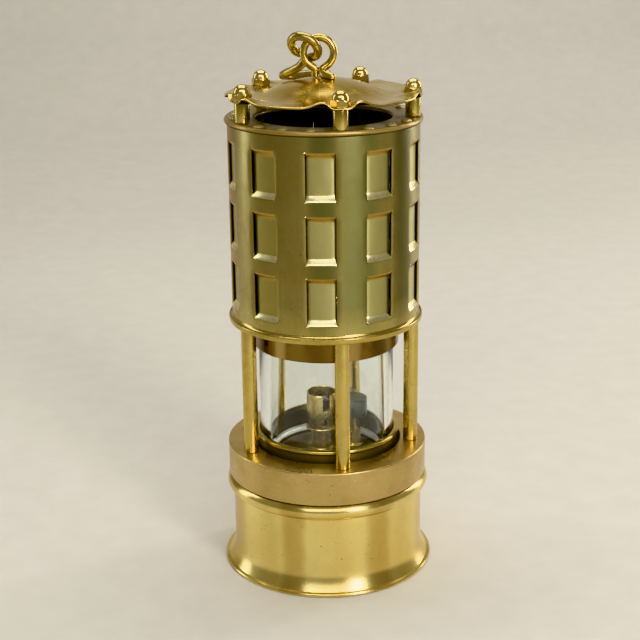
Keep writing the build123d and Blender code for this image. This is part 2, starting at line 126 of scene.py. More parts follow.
class Solid:
    """Points in millimetres and faces, gathered before they become one mesh."""

    def __init__(self):
        self.points, self.faces = [], []

    def add(self, points, faces):
        start = len(self.points)
        self.points += points
        self.faces += [tuple(start + i for i in face) for face in faces]
        return self

    def object(self, name, material, sharp=38.0):
        mesh = bpy.data.meshes.new(name)
        mesh.from_pydata([Vector(p) * MM for p in self.points], [], self.faces)
        mesh.validate()
        mesh.shade_smooth()
        mesh.set_sharp_from_angle(angle=radians(sharp))
        mesh.materials.append(material)
        return add_object(name, mesh)

    def piece(self, name, material, body, node, sharp=38.0):
        """The finished object, riding its body and standing for its CAD node."""
        made = self.object(name, material, sharp)
        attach(made, body)
        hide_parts(node)
        return made


def rounded(corners, radius=0.3, segments=4):
    """A closed outline with its corners rounded. A corner is (r, z) or (r, z, its own radius)."""
    outline = []
    for k, corner in enumerate(corners):
        here = Vector(corner[:2])
        size = corner[2] if len(corner) > 2 else radius
        before = Vector(corners[k - 1][:2]) - here
        after = Vector(corners[(k + 1) % len(corners)][:2]) - here
        turn = before.angle(after) if before.length and after.length else pi
        if size < 0.02 or here.x < 0.001 or turn > radians(172):
            outline.append(tuple(here))
            continue
        back = min(size / tan(turn / 2), 0.46 * before.length, 0.46 * after.length)
        start, end = here + before.normalized() * back, here + after.normalized() * back
        for i in range(segments + 1):
            t = i / segments
            outline.append(tuple(start * (1 - t) ** 2 + here * (2 * t * (1 - t)) + end * t * t))
    return outline


def band(inner, outer, low, high):
    """The four corners of a plain ring."""
    return [(inner, low), (outer, low), (outer, high), (inner, high)]


def arc(a, b, c, segments=14):
    """Points on the circle through three (r, z) points, from a to c."""
    (ax, ay), (bx, by), (cx, cy) = a, b, c
    d = 2 * (ax * (by - cy) + bx * (cy - ay) + cx * (ay - by))
    aa, bb, cc = ax * ax + ay * ay, bx * bx + by * by, cx * cx + cy * cy
    ux = (aa * (by - cy) + bb * (cy - ay) + cc * (ay - by)) / d
    uy = (aa * (cx - bx) + bb * (ax - cx) + cc * (bx - ax)) / d
    radius = hypot(ax - ux, ay - uy)
    start, mid, end = (atan2(y - uy, x - ux) for x, y in (a, b, c))
    sweep = (end - start) % TAU
    if (mid - start) % TAU > sweep:
        sweep -= TAU
    turns = [start + sweep * i / segments for i in range(segments + 1)]
    return [(ux + radius * cos(t), uy + radius * sin(t)) for t in turns]


def upright(r, low, high, spacing):
    """Points up a straight wall."""
    count = max(int((high - low) / spacing), 1)
    return [(r, low + (high - low) * i / count) for i in range(count + 1)]


def lathe(solid, outline, steps, at=(0, 0), shape=None):
    """Adds a closed (r, z) outline turned about a vertical axis. shape(r, z, turn) may move a point."""
    points, faces, rings = [], [], []
    shape = shape or (lambda r, z, turn: (r, z))
    for r, z in outline:
        start = len(points)
        if r < 0.001:
            rings.append([start] * steps)
            points.append((*at, shape(r, z, 0.0)[1]))
            continue
        rings.append(range(start, start + steps))
        for k in range(steps):
            turn = TAU * k / steps
            r2, z2 = shape(r, z, turn)
            points.append((at[0] + r2 * sin(turn), at[1] - r2 * cos(turn), z2))
    for a, b in zip(rings, rings[1:] + rings[:1]):
        for k in range(steps):
            n = (k + 1) % steps
            face = tuple(dict.fromkeys((a[k], a[n], b[n], b[k])))
            if len(face) > 2:
                faces.append(face)
    return solid.add(points, faces)


def turned(name, material, body, node, outline, steps=192, at=(0, 0), shape=None, sharp=38.0):
    """A piece that is one turned outline."""
    lathe(Solid(), outline, steps, at, shape).piece(name, material, body, node, sharp)


def repeated(name, material, node, outline, steps, places):
    """One turned outline at several places of the frame, as one piece."""
    solid = Solid()
    for at in places:
        lathe(solid, outline, steps, at)
    solid.piece(name, material, "frame", node)


def smooth_path(points, spacing):
    """Evenly spread points on a Catmull-Rom curve through the given ones."""
    nodes = [Vector(p) for p in points]
    nodes = [nodes[0] * 2 - nodes[1]] + nodes + [nodes[-1] * 2 - nodes[-2]]
    dense = []
    for a, b, c, d in zip(nodes, nodes[1:], nodes[2:], nodes[3:]):
        for i in range(24):
            t = i / 24
            dense.append(0.5 * (2 * b + (c - a) * t + (2 * a - 5 * b + 4 * c - d) * t * t
                + (3 * b - a - 3 * c + d) * t ** 3))
    dense.append(nodes[-2])
    travelled = [0.0]
    for a, b in zip(dense, dense[1:]):
        travelled.append(travelled[-1] + (b - a).length)
    count = max(int(travelled[-1] / spacing), 2)
    even, k = [], 0
    for i in range(count + 1):
        goal = travelled[-1] * i / count
        while k < len(dense) - 2 and travelled[k + 1] < goal:
            k += 1
        part = (goal - travelled[k]) / max(travelled[k + 1] - travelled[k], 1e-9)
        even.append(dense[k].lerp(dense[k + 1], part))
    return even


def wire(solid, path, radius, sides, domed=True):
    """Adds a round wire along a path, with domed or flat ends."""
    path = [Vector(p) for p in path]
    last = len(path) - 1
    along = [(path[min(k + 1, last)] - path[max(k - 1, 0)]).normalized() for k in range(last + 1)]
    across = along[0].orthogonal().normalized()
    stations = []
    for p, t in zip(path, along):
        across = (across - t * across.dot(t)).normalized()
        stations.append((p, t, across, radius))
    if domed:
        for end, way in ((0, -1), (-1, 1)):
            p, t, u, r = stations[end]
            cap = [(p + t * (way * r) * c, t, u, r * sqrt(1 - c * c)) for c in (0.25, 0.5, 0.75, 0.92, 0.995)]
            stations = stations + cap if end else cap[::-1] + stations
    points, faces = [], []
    for p, t, u, r in stations:
        v = t.cross(u)
        points += [p + (u * cos(TAU * i / sides) + v * sin(TAU * i / sides)) * r for i in range(sides)]
    for row in range(0, (len(stations) - 1) * sides, sides):
        for i in range(sides):
            j = (i + 1) % sides
            faces.append((row + i, row + j, row + sides + j, row + sides + i))
    faces.append(tuple(reversed(range(sides))))
    faces.append(tuple((len(stations) - 1) * sides + i for i in range(sides)))
    return solid.add(points, faces)


def refine(made, kind, **settings):
    """Adds a modifier to an object."""
    modifier = made.modifiers.new(kind.title(), kind)
    for key, value in settings.items():
        setattr(modifier, key, value)


def bevel(made, width, **settings):
    refine(made, "BEVEL", width=width * MM, segments=2, limit_method="ANGLE", angle_limit=radians(50),
        **settings)


def thicken(made, thickness, edge):
    """Gives a sheet its thickness and breaks its edges."""
    refine(made, "SOLIDIFY", thickness=thickness * MM, offset=-1.0)
    bevel(made, edge)


# ---- materials ----
class Nodes:
    """A small helper that builds a node tree."""

    def __init__(self, tree):
        self.tree = tree

    def put(self, socket, value):
        """Links a socket to another's output or gives it a value."""
        if isinstance(value, bpy.types.NodeSocket):
            self.tree.links.new(value, socket)
        else:
            socket.default_value = value

    def make(self, kind, inputs=(), **settings):
        made = self.tree.nodes.new("ShaderNode" + kind)
        for key, value in settings.items():
            setattr(made, key, value)
        for key, value in dict(inputs).items():
            self.put(made.inputs[key], value)
        return made

    def node(self, kind, inputs=(), out=0, **settings):
        """One output of a new node."""
        return self.make(kind, inputs, **settings).outputs[out]

    def ramp(self, value, *stops):
        """A colour or grey ramp. A stop is (place, grey) or (place, (r, g, b))."""
        made = self.make("ValToRGB", {0: value})
        items = made.color_ramp.elements
        while len(items) < len(stops):
            items.new(0.5)
        for item, (place, tone) in zip(items, stops):
            item.position = place
            item.color = (*tone, 1) if isinstance(tone, tuple) else (tone, tone, tone, 1)
        return made.outputs[0]


class Shader(Nodes):
    """A material's nodes about one Principled shader."""

    def __init__(self, slot, name=None):
        self.material = bpy.data.materials.new(name or slot)
        self.material["slot"] = slot
        self.material.use_nodes = True
        super().__init__(self.material.node_tree)
        self.shader = self.tree.nodes["Principled BSDF"]
        about = self.make("TexCoord").outputs
        self.place, self.facing = about["Object"], about["Normal"]

    @cached_property
    def height(self):
        return self.node("SeparateXYZ", {0: self.place}, 2)

    @cached_property
    def upward(self):
        """1 where a face looks up, -1 where it looks down."""
        return self.node("SeparateXYZ", {0: self.facing}, 2)

    @cached_property
    def flat(self):
        """The place without its height."""
        return self.vector("MULTIPLY", self.place, (1, 1, 0))

    @cached_property
    def outward(self):
        """The direction away from the lamp's axis."""
        return self.vector("NORMALIZE", self.flat)

    def times(self, a, b):
        return self.node("Math", {0: a, 1: b}, operation="MULTIPLY")

    def plus(self, value, share, amount=1.0):
        """value + share * amount"""
        return self.node("Math", {0: share, 1: amount, 2: value}, operation="MULTIPLY_ADD")

    def vector(self, operation, a, b=(0, 0, 0), out=0):
        return self.node("VectorMath", {0: a, 1: b}, out, operation=operation)

    def towards(self, azimuth):
        """The cosine of the angle between the place's azimuth and this one."""
        return self.vector("DOT_PRODUCT", self.outward, (*polar(1.0, azimuth), 0), "Value")

    def fade(self, value, a, b, full=1.0, **settings):
        """0 up to a, rising or falling to full at b."""
        return self.node("MapRange", {0: value, 1: a, 2: b, 4: full}, **settings)

    def round_about(self, around, up):
        """Seamless coordinates on a turned piece: a circle of one size and the height."""
        lift = self.node("CombineXYZ", {2: self.times(self.height, up)})
        return self.vector("ADD", self.vector("MULTIPLY", self.outward, (around,) * 3), lift)

    def noise(self, where, scale=1.0, detail=4.0, rough=0.55):
        return self.node("TexNoise", {"Vector": where, "Scale": scale, "Detail": detail, "Roughness": rough})

    def mix(self, share, a, b):
        a, b = (v if isinstance(v, bpy.types.NodeSocket) else (*v, 1) for v in (a, b))
        return self.node("Mix", {0: share, 6: a, 7: b}, 2, data_type="RGBA")

    def bumps(self, *layers):
        """Bump layers over one another. A layer is (height, distance in mm, strength)."""
        below = {}
        for height, distance, strength in layers:
            inputs = {"Height": height, "Distance": distance * MM, "Strength": strength, **below}
            below = {"Normal": self.node("Bump", inputs)}
        self.put(self.shader.inputs["Normal"], below["Normal"])

    def set(self, **values):
        for key, value in values.items():
            self.put(self.shader.inputs[key.replace("_", " ")], value)
        return self.material


def shade(colour, share):
    return tuple(share * c for c in colour)


def between(a, b, share):
    return tuple((1 - share) * p + share * q for p, q in zip(a, b))


# Black for sooted brass, also used for a painted shadow on the glass seat.
SOOT_AND_SHADOW = (0.014, 0.011, 0.008)
RAW_BRASS = (0.56, 0.52, 0.235)
HANDLED_BRASS = (0.62, 0.5, 0.19)
TARNISHED_PANEL = (0.38, 0.31, 0.1)
# Colours painted on the windows' slopes: an orange-brown painted reflection on the down-facing ones and a
# painted highlight on the up-facing ones.
PAINTED_REFLECTION_DOWN, PAINTED_HIGHLIGHT_UP = (0.46, 0.31, 0.1), (0.96, 0.87, 0.5)


def brass(slot, clean, warm, stain, rough, stain_amount, lines, name=None, grain=0.0, soot_and_shadow=None, panels=False,
        reflection_and_tarnish_bands=(), metal=1.0, relief=1.0):
    """Old polished brass. lines is its finish: "turned", "drawn" (vertical) or "rubbed". soot_and_shadow says
    where it is sooted, and on the glass seat where a shadow is painted. panels is true for the bonnet, whose
    windows were never polished and whose window slopes get painted light. A band in
    reflection_and_tarnish_bands stands upright at one azimuth; those facing the front are painted
    reflections, dark and light, and those
    behind are tarnished brass: (azimuth, half its width in degrees, amount, its colour or none)."""
    s = Shader(slot, name)
    if lines == "turned":
        streaks = s.noise(s.round_about(1.1, 5200.0), detail=3.0)
    elif lines == "drawn":
        streaks = s.noise(s.round_about(95.0, 26.0))
    else:
        streaks = s.noise(s.place, 1500.0, 3.0)
    cloud = s.noise(s.place, 38.0, 5.0)
    bands = s.noise(s.round_about(2.2, 5.0), detail=2.0)
    patch = s.noise(s.place, 95.0, 8.0, 0.62)
    speck = s.noise(s.place, 900.0, 2.0)
    grime = s.noise(s.place, 330.0, 6.0, 0.7)
    tone = s.mix(s.ramp(cloud, (0.35, 0.0), (0.68, 1.0)), clean, warm)
    tone = s.mix(s.ramp(bands, (0.4, 0.0), (0.72, 0.55)), tone, between(warm, stain, 0.5))
    tone = s.mix(s.ramp(streaks, (0.3, 0.0), (0.75, 0.16 * relief)), tone, stain)
    tone = s.mix(s.ramp(patch, (0.5, 0.0), (0.78, stain_amount)), tone, stain)
    spots = s.times(s.ramp(speck, (0.66, 0.0), (0.74, 1.0)), s.ramp(grime, (0.42, 0.0), (0.62, 0.8)))
    tone = s.mix(spots, tone, shade(stain, 0.35))
    # Darker in recesses by ambient occlusion: grime in the hollows and painted shade.
    dirt_and_shade = s.node("AmbientOcclusion", {"Distance": 3.0 * MM}, "AO", samples=8)
    tone = s.mix(s.ramp(dirt_and_shade, (0.15, 0.62), (0.62, 0.0)), tone, shade(stain, 0.42))
    finish = s.plus(s.ramp(streaks, (0.25, rough), (0.8, rough + 0.09 * relief)),
        s.ramp(patch, (0.45, 0.0), (0.75, 0.16 * relief)))
    finish = s.plus(finish, spots, 0.3)
    # Upright bands at fixed azimuths: those facing the front are painted reflections, dark and light; those
    # behind are tarnished brass.
    for azimuth, width, amount, *band_colour in reflection_and_tarnish_bands:
        close = s.plus(s.towards(azimuth), s.plus(-0.5, patch), 0.001 * width)
        band_mask = s.fade(close, cos(radians(width)), 1.0, amount, interpolation_type="SMOOTHSTEP")
        tone = s.mix(band_mask, tone, band_colour[0] if band_colour else stain)
    if panels:
        radius = s.vector("LENGTH", s.flat, out="Value")
        handled = s.fade(s.plus(s.height, patch, 9 * MM), 142 * MM, 124 * MM, 0.6)
        tone = s.mix(handled, tone, HANDLED_BRASS)
        finish = s.plus(finish, handled, -0.08)
        unpolished = s.fade(radius, (BONNET_R - 0.35) * MM, (BONNET_R - 1.2) * MM)
        tone = s.mix(s.times(unpolished, 0.85), tone, between(clean, RAW_BRASS, 0.45))
        tarnished = s.fade(s.towards(-38.0), 0.95, 0.99, 0.55)
        tone = s.mix(s.times(tarnished, unpolished), tone, TARNISHED_PANEL)
        finish = s.plus(finish, unpolished, 0.12)
        pressed = s.fade(radius, (BONNET_R + 0.02) * MM, (BONNET_R - 0.05) * MM)
        # Painted light on the pressed windows' slopes: the down-facing top slopes get a painted reflection
        # and the up-facing bottom slopes a painted highlight, both a little glossier.
        for tilt, colour in ((-0.3, PAINTED_REFLECTION_DOWN), (0.3, PAINTED_HIGHLIGHT_UP)):
            painted_slope_light = s.times(pressed, s.fade(s.upward, 0.4 * tilt, tilt))
            tone = s.mix(painted_slope_light, tone, colour)
            finish = s.plus(finish, painted_slope_light, -0.1)
    # Sooty black where the brass is sooted, and on the glass seat as a painted shadow.
    if soot_and_shadow:
        black = soot_and_shadow(s)
        tone = s.mix(black, tone, SOOT_AND_SHADOW)
        finish = s.plus(finish, black, 0.35)
    dents = s.noise(s.place, 60.0, 2.0)
    s.bumps((dents, 0.35 * relief, 0.35), (streaks, 0.012 * relief, 0.5), (grime, 0.01 * relief, 0.35))
    if grain:
        tangent = s.node("Tangent", direction_type="RADIAL", axis="Z")
        s.set(Tangent=tangent, Anisotropic=grain, Anisotropic_Rotation=0.25)
    return s.set(Base_Color=tone, Roughness=finish, Metallic=metal)


def soot_inside(s):
    """Soot on the faces that look towards the lamp's axis."""
    facing = s.vector("DOT_PRODUCT", s.place, s.facing, "Value")
    return s.fade(s.plus(facing, s.times(s.height, s.upward), -1.0), 0.004, -0.012)


def soot_under(s):
    """Soot on the faces that look down."""
    return s.fade(s.upward, -0.1, -0.7)


def painted_shadow_low(s):
    """Painted shadow in sooty black on the glass seat below its lip."""
    return s.fade(s.height, (SEAT_TOP - 1.9) * MM, (SEAT_TOP - 2.3) * MM, 0.8)


def steel(slot, clean, rust, rough, rust_amount):
    """Dull steel with a brown bloom."""
    s = Shader(slot)
    bloom = s.noise(s.place, 260.0, 8.0, 0.65)
    grain = s.noise(s.place, 2600.0, 3.0)
    tone = s.mix(s.ramp(bloom, (0.42, 0.0), (0.72, rust_amount)), clean, rust)
    tone = s.mix(s.ramp(grain, (0.4, 0.0), (0.8, 0.25)), tone, shade(clean, 0.4))
    s.bumps((grain, 0.02, 0.6), (bloom, 0.03, 0.4))
    return s.set(Base_Color=tone, Roughness=s.ramp(bloom, (0.35, rough), (0.7, rough + 0.25)), Metallic=0.9)


def lamp_glass():
    """Thick clear glass with slight waves and fine wiping marks."""
    s = Shader("lamp_glass")
    wipes = s.noise(s.round_about(2.0, 420.0), detail=6.0)
    s.bumps((s.noise(s.round_about(3.0, 30.0), detail=1.0), 0.25, 0.25))
    return s.set(Base_Color=(0.955, 0.985, 0.965, 1), Roughness=s.ramp(wipes, (0.5, 0.0), (0.9, 0.07)),
        Transmission_Weight=1.0, IOR=1.5)


def soft_fibre(slot, pale, dark, name=None, char_z=None):
    """Packing or wick fibre. Above char_z it is burnt black."""
    s = Shader(slot, name)
    strands = s.noise(s.node("Mapping", {"Vector": s.place, "Scale": (1400.0, 1400.0, 300.0)}))
    fluff = s.noise(s.place, 700.0, 5.0)
    tone = s.mix(s.ramp(strands, (0.3, 1.0), (0.7, 0.0)), pale, dark)
    if char_z:
        burnt = s.fade(s.plus(s.height, fluff, 2 * MM), (char_z - 3) * MM, char_z * MM)
        tone = s.mix(burnt, tone, (0.012, 0.01, 0.009))
    s.bumps((strands, 0.12, 0.8), (fluff, 0.06, 0.6))
    return s.set(Base_Color=tone, Roughness=0.92, Sheen_Weight=0.3)


def mottled(slot, scale, depth, low, high, dark, pale, rough, metal):
    """A dull material of two tones, pitted by the noise that parts them."""
    s = Shader(slot)
    pits = s.noise(s.place, scale, 6.0)
    s.bumps((pits, *depth))
    tone = s.mix(s.ramp(pits, (low, 0.0), (high, 1.0)), dark, pale)
    return s.set(Base_Color=tone, Roughness=rough, Metallic=metal)


# On the fount the bands facing the front are painted dark reflections.
POLISHED = brass("polished_brass", (0.9, 0.76, 0.33), (0.86, 0.68, 0.26), (0.5, 0.32, 0.09), 0.22, 0.12,
    "drawn", grain=0.6, soot_and_shadow=soot_inside, relief=0.25,
    reflection_and_tarnish_bands=((-21, 9, 0.55), (31, 10, 0.55), (-72, 16, 0.6), (78, 14, 0.5), (128, 12, 0.5), (-140, 11, 0.5)))
YELLOW = brass("yellow_brass", (0.7, 0.57, 0.21), (0.65, 0.49, 0.16), (0.3, 0.2, 0.06), 0.16, 0.3, "rubbed")
NUT_BRASS = brass("polished_brass", (0.82, 0.67, 0.28), (0.76, 0.57, 0.2), (0.34, 0.23, 0.08), 0.12, 0.25,
    "rubbed", "nut_brass")
# The bonnet's front bands are painted reflections: dark ones, and an orange-brown one at -79 degrees.
SATIN = brass("satin_brass", (0.42, 0.375, 0.175), (0.38, 0.305, 0.125), (0.2, 0.14, 0.045), 0.26, 0.4,
    "drawn", grain=0.5, soot_and_shadow=soot_inside, panels=True,
    reflection_and_tarnish_bands=((54, 13, 0.9, (0.13, 0.12, 0.05)), (20, 15, 0.75, (0.18, 0.19, 0.085)),
        (-1, 11, 0.75, (0.13, 0.14, 0.06)), (-79, 17, 0.85, (0.44, 0.24, 0.08)),
        (-20, 18, 0.25), (110, 14, 0.5), (-125, 16, 0.5), (171, 12, 0.4)))
RED = brass("red_brass", (0.65, 0.485, 0.225), (0.62, 0.48, 0.2), (0.34, 0.19, 0.08), 0.24, 0.32, "turned")
# The collar's front bands are painted reflections (the dark ones) and painted highlights (the light ones).
BROWN = brass("brown_brass", (0.27, 0.2, 0.07), (0.22, 0.12, 0.04), (0.09, 0.048, 0.018), 0.13, 0.75,
    "turned", reflection_and_tarnish_bands=((-56, 9, 0.85, (0.05, 0.032, 0.012)), (-38, 7, 0.6, (0.62, 0.47, 0.22)),
        (-8, 12, 0.5, (0.1, 0.06, 0.02)), (20, 9, 0.45, (0.6, 0.44, 0.2)),
        (45, 11, 0.7, (0.07, 0.045, 0.016)), (130, 15, 0.6, (0.07, 0.045, 0.016)),
        (-140, 15, 0.6, (0.6, 0.44, 0.2))))
HOOK_BRASS = brass("brown_brass", (0.52, 0.42, 0.16), (0.42, 0.31, 0.11), (0.2, 0.13, 0.04), 0.22, 0.45,
    "rubbed", "hook_brass")
SOOTY = brass("sooty_brass", (0.34, 0.26, 0.11), (0.24, 0.17, 0.07), (0.05, 0.038, 0.024), 0.3, 0.85,
    "turned")
SOOTY_TUBE = brass("sooty_brass", (0.8, 0.66, 0.3), (0.66, 0.54, 0.26), (0.14, 0.1, 0.05), 0.2, 0.7,
    "rubbed", "sooty_tube")
BASE_BRASS = brass("sooty_brass", (0.42, 0.3, 0.12), (0.34, 0.24, 0.1), (0.12, 0.08, 0.04), 0.24, 0.7,
    "turned", "base_brass")
TOP_BRASS = brass("satin_brass", (0.46, 0.34, 0.12), (0.4, 0.27, 0.09), (0.2, 0.12, 0.04), 0.26, 0.4,
    "turned", "satin_brass_top", soot_and_shadow=soot_under, metal=0.6)
FLANGE_BRASS = brass("satin_brass", (0.62, 0.5, 0.18), (0.56, 0.42, 0.14), (0.26, 0.16, 0.05), 0.16, 0.4,
    "turned", "flange_brass", soot_and_shadow=soot_inside)
SEAT_BRASS = brass("yellow_brass", (0.72, 0.6, 0.23), (0.66, 0.5, 0.17), (0.26, 0.17, 0.06), 0.16, 0.4,
    # The glass seat's black below its lip is a painted shadow.
    "turned", "seat_brass", soot_and_shadow=painted_shadow_low)
RIVET_BRASS = brass("yellow_brass", (0.8, 0.7, 0.36), (0.72, 0.58, 0.26), (0.36, 0.24, 0.08), 0.22, 0.4,
    "rubbed", "rivet_brass", metal=0.6)
CROWN_BRASS = brass("yellow_brass", (0.7, 0.54, 0.18), (0.64, 0.45, 0.13), (0.34, 0.21, 0.06), 0.12, 0.3,
    "turned", "crown_brass", soot_and_shadow=soot_under)
GAUZE = steel("steel_gauze", (0.07, 0.065, 0.06), (0.1, 0.055, 0.03), 0.75, 0.7)
STEEL = steel("steel", (0.16, 0.185, 0.18), (0.12, 0.09, 0.06), 0.3, 0.5)
GLASS = lamp_glass()
COTTON = soft_fibre("cotton", (0.7, 0.64, 0.52), (0.42, 0.36, 0.27), char_z=WICK_TOP - 3)
WADDING = soft_fibre("cotton", (0.74, 0.7, 0.6), (0.5, 0.45, 0.36), "cotton_wadding")
PACKING = soft_fibre("white_packing", (0.97, 0.96, 0.91), (0.82, 0.8, 0.74))
GASKET = mottled("dark_gasket", 500.0, (0.05, 0.6), 0.4, 0.8, (0.035, 0.03, 0.026), (0.085, 0.075, 0.065),
    0.8, 0.0)
FLINT = mottled("flint_alloy", 1800.0, (0.08, 0.9), 0.4, 0.7, (0.12, 0.115, 0.11), (0.26, 0.25, 0.24),
    0.6, 0.7)


# ---- fount and packing ----
def thread(nominal, low, high, depth):
    """A lathe shape that cuts a screw thread into the wall at the nominal radius, inwards if depth > 0."""
    def cut(r, z, turn):
        if abs(r - nominal) > 0.05 or not low < z < high:
            return r, z
        fade = smooth(low, low + THREAD_PITCH, z) * smooth(high, high - THREAD_PITCH, z)
        return r - depth * fade * (0.5 + 0.5 * cos(TAU * z / THREAD_PITCH - turn)), z
    return cut


def fount():
    body_r, wall, bead_r = 45.1, 1.6, 48.0
    bead_low = SHOULDER_Z - 7.4
    bore, inside = NECK_R - wall, body_r - wall
    foot = ((2.6, 0.25), (2.3, 0), (0.55, 0), (0.12, 0.2), (0, 0.6), (0.02, 1.0), (0.35, 1.5))
    outline = [(FOOT_R - inset, z) for inset, z in foot]
    outline += [(body_r + (FOOT_R - 0.55 - body_r) * (1 - smooth(-2.5, 12.5, z)) ** 1.7 / 0.9, z)
        for z in (1.9, 2.4, 3.0, 3.7, 4.5, 5.4, 6.4, 7.5, 8.7, 10.0, 11.3, 12.6, 14.0, 15.5)]
    outline += upright(body_r, 17.0, bead_low - 0.5, 3.0)
    outline += [(body_r - 0.1, bead_low), (body_r + 0.15, bead_low + 0.3)]
    outline += arc((body_r + 0.8, bead_low + 0.35), (bead_r, SHOULDER_Z - 3.7), (46.1, SHOULDER_Z - 0.2), 18)
    outline += [(45.7, SHOULDER_Z), (NECK_R + 0.1, SHOULDER_Z)]
    outline += upright(NECK_R, SHOULDER_Z + 0.2, NECK_TOP - 0.3, 0.17)
    outline += [(NECK_R - 0.3, NECK_TOP), (bore + 0.2, NECK_TOP), (bore, NECK_TOP - 0.2),
        (bore, SHOULDER_Z - wall), (inside, SHOULDER_Z - wall), (inside, 9.2), (inside + 0.5, 8.2)]
    turned("fount_shell_spun", POLISHED, "fount", "fount_shell", outline, 224,
        shape=thread(NECK_R, SHOULDER_Z + 0.6, NECK_TOP - 0.4, 0.5))


def wavy(r, z, turn):
    """A lathe shape for packing with a slightly uneven edge."""
    return r + 0.08 * sin(17 * turn) + 0.05 * sin(41 * turn), z


def flat_ring(name, material, body, node, inner, outer, corner=0.35, shape=None, proud=0.0, steps=192,
        at=(0, 0)):
    """A flat ring that stands proud of its CAD node by so much."""
    low, high = level(node)
    outline = rounded(band(inner, outer, low, high + proud), corner)
    turned(name, material, body, node, outline, steps, at, shape)


# ---- frame: rings, glass and pillars ----
def ring():
    """The heavy turned ring that screws onto the fount."""
    recess_r, bore = 35.0, NECK_R + 0.1
    outline = rounded([(RING_R - 1.0, RING_Z), (RING_R, RING_Z, 0.35), (RING_R, RING_TOP, 0.75),
        (recess_r, RING_TOP, 0.5), (recess_r, SEAT_SHELF), (bore, SEAT_SHELF)], 0.3, 5)
    outline += reversed(upright(bore, RING_Z + 0.6, SEAT_SHELF - 0.2, 0.17))
    outline += [(bore + 0.5, RING_Z)]
    turned("lower_ring_turned", RED, "frame", "lower_ring", outline, 224,
        shape=thread(bore, RING_Z + 0.3, SEAT_SHELF - 0.4, -0.5))


def glass_seat():
    wall, floor_r, flange_r = GLASS_R + 0.3, 25.2, 38.2
    out = wall + 1.3
    outline = rounded([(floor_r, SEAT_Z), (flange_r, SEAT_Z), (flange_r, SEAT_Z + 1.3),
        (NECK_R, SEAT_Z + 1.3), (NECK_R, SEAT_SHELF), (out, SEAT_SHELF, 0.5), (out, SEAT_TOP - 2.3)], 0.2, 3)
    outline += arc((out + 0.05, SEAT_TOP - 2.25), (out + 0.95, SEAT_TOP - 1.15),
        (out + 0.15, SEAT_TOP - 0.12), 10)
    outline += [(wall + 0.25, SEAT_TOP), (wall, SEAT_TOP - 0.25), (wall, SEAT_SHELF),
        (floor_r + 0.2, SEAT_SHELF), (floor_r, SEAT_SHELF - 0.2)]
    turned("glass_seat_spun", SEAT_BRASS, "frame", "glass_seat_ring", outline)


def glass():
    outline = rounded(band(GLASS_R - GLASS_WALL, GLASS_R, GLASS_Z, GLASS_TOP), 0.7, 6)
    turned("glass_cylinder_ground", GLASS, "frame", "glass_cylinder", outline, 256)


def collar():
    """Cap on the glass, with a rolled edge at its mouth."""
    inner, outer, flange_r, hole = GLASS_R + 0.4, 34.0, 36.5, 25.8
    under = level("upper_glass_gasket")[1]
    lip = under + 1.0
    outline = rounded([(inner, COLLAR_Z, 0.3), (outer, COLLAR_Z, 2.6), (outer, lip), (flange_r, lip),
        (flange_r, COLLAR_TOP), (hole, COLLAR_TOP), (hole, under), (inner, under)], 0.5, 5)
    turned("glass_collar_spun", BROWN, "frame", "glass_collar", outline)


def pillars():
    """Five turned pillars, each with a spigot in the lower ring, and the crown's posts above them."""
    low, top = level("pillars")[0], BONNET_Z - 0.02
    outline = rounded([(0, low), (2.0, low), (2.0, RING_TOP), (3.4, RING_TOP, 0.35), (3.4, top),
        (0, top)], 0.2)
    repeated("pillars_turned", YELLOW, "pillars", outline, 48, POSTS)
    bore, outer = 1.7, 3.35
    outline = rounded([(bore, POST_Z), (outer, POST_Z, 0.3), (outer, POST_TOP, 0.25), (bore, POST_TOP)], 0.2)
    repeated("crown_posts_turned", YELLOW, "crown_posts", outline, 48, POSTS)


# ---- gauzes ----
def gauze(name, node, base_r, top_r):
    """A cap of woven wire: warp wires up the cone, weft rings round it, and a woven disc on top."""
    low, high = level(node)
    pitch, wire_r = 1.25, 0.22
    warps = int(TAU * base_r / pitch / 2) * 2
    wefts = int((high - low) / pitch)
    tall = high - low - 2 * wire_r
    solid = Solid()

    def over(count):
        """A wire's way to one side of the weave or the other."""
        return (wire_r if count % 2 else -wire_r) * 0.9

    def crossing(i, j, weft):
        turn, share = TAU * i / warps, j / wefts
        r = base_r + (top_r - base_r) * share - 2 * wire_r + over(i + j + weft)
        return r * sin(turn), -r * cos(turn), low + tall * share
    paths = [[crossing(i, j, 0) for j in range(wefts + 1)] for i in range(warps)]
    paths += [[crossing(i, j, 1) for i in range(warps + 1)] for j in range(1, wefts + 1)]
    across = int(top_r / pitch)
    for flip in (False, True):
        for k in range(-across, across + 1):
            half = sqrt(max(top_r ** 2 - (k * pitch) ** 2, 0.1))
            count = max(int(2 * half / pitch), 2)
            along = [-half + 2 * half * i / count for i in range(count + 1)]
            paths.append([(*((k * pitch, a) if flip else (a, k * pitch)), low + tall + over(i + k + flip))
                for i, a in enumerate(along)])
    for path in paths:
        wire(solid, path, wire_r, 4, False)
    solid.piece(name, GAUZE, "frame", node)


# ---- bonnet ----
WINDOW_COLUMNS, WINDOW_AZ, WINDOW_HALF = 10, -2.4, 8.75
WINDOW_DEPTH, TOP_SLOPE, BOTTOM_SLOPE = 1.65, 2.8, 3.2
WINDOW_ROWS = ((128.5, 150.5), (156.1, 178.0), (183.9, 205.5))
SECTOR = 360.0 / WINDOW_COLUMNS


def eased(t, corner=0.28):
    """A straight slope from 0 to 1 with its two corners rounded."""
    t = min(max(t, 0.0), 1.0)
    steep = 1.0 / (1.0 - corner)
    if t < corner:
        return steep * t * t / (2 * corner)
    if t > 1 - corner:
        return 1 - steep * (1 - t) ** 2 / (2 * corner)
    return steep * (t - corner / 2)


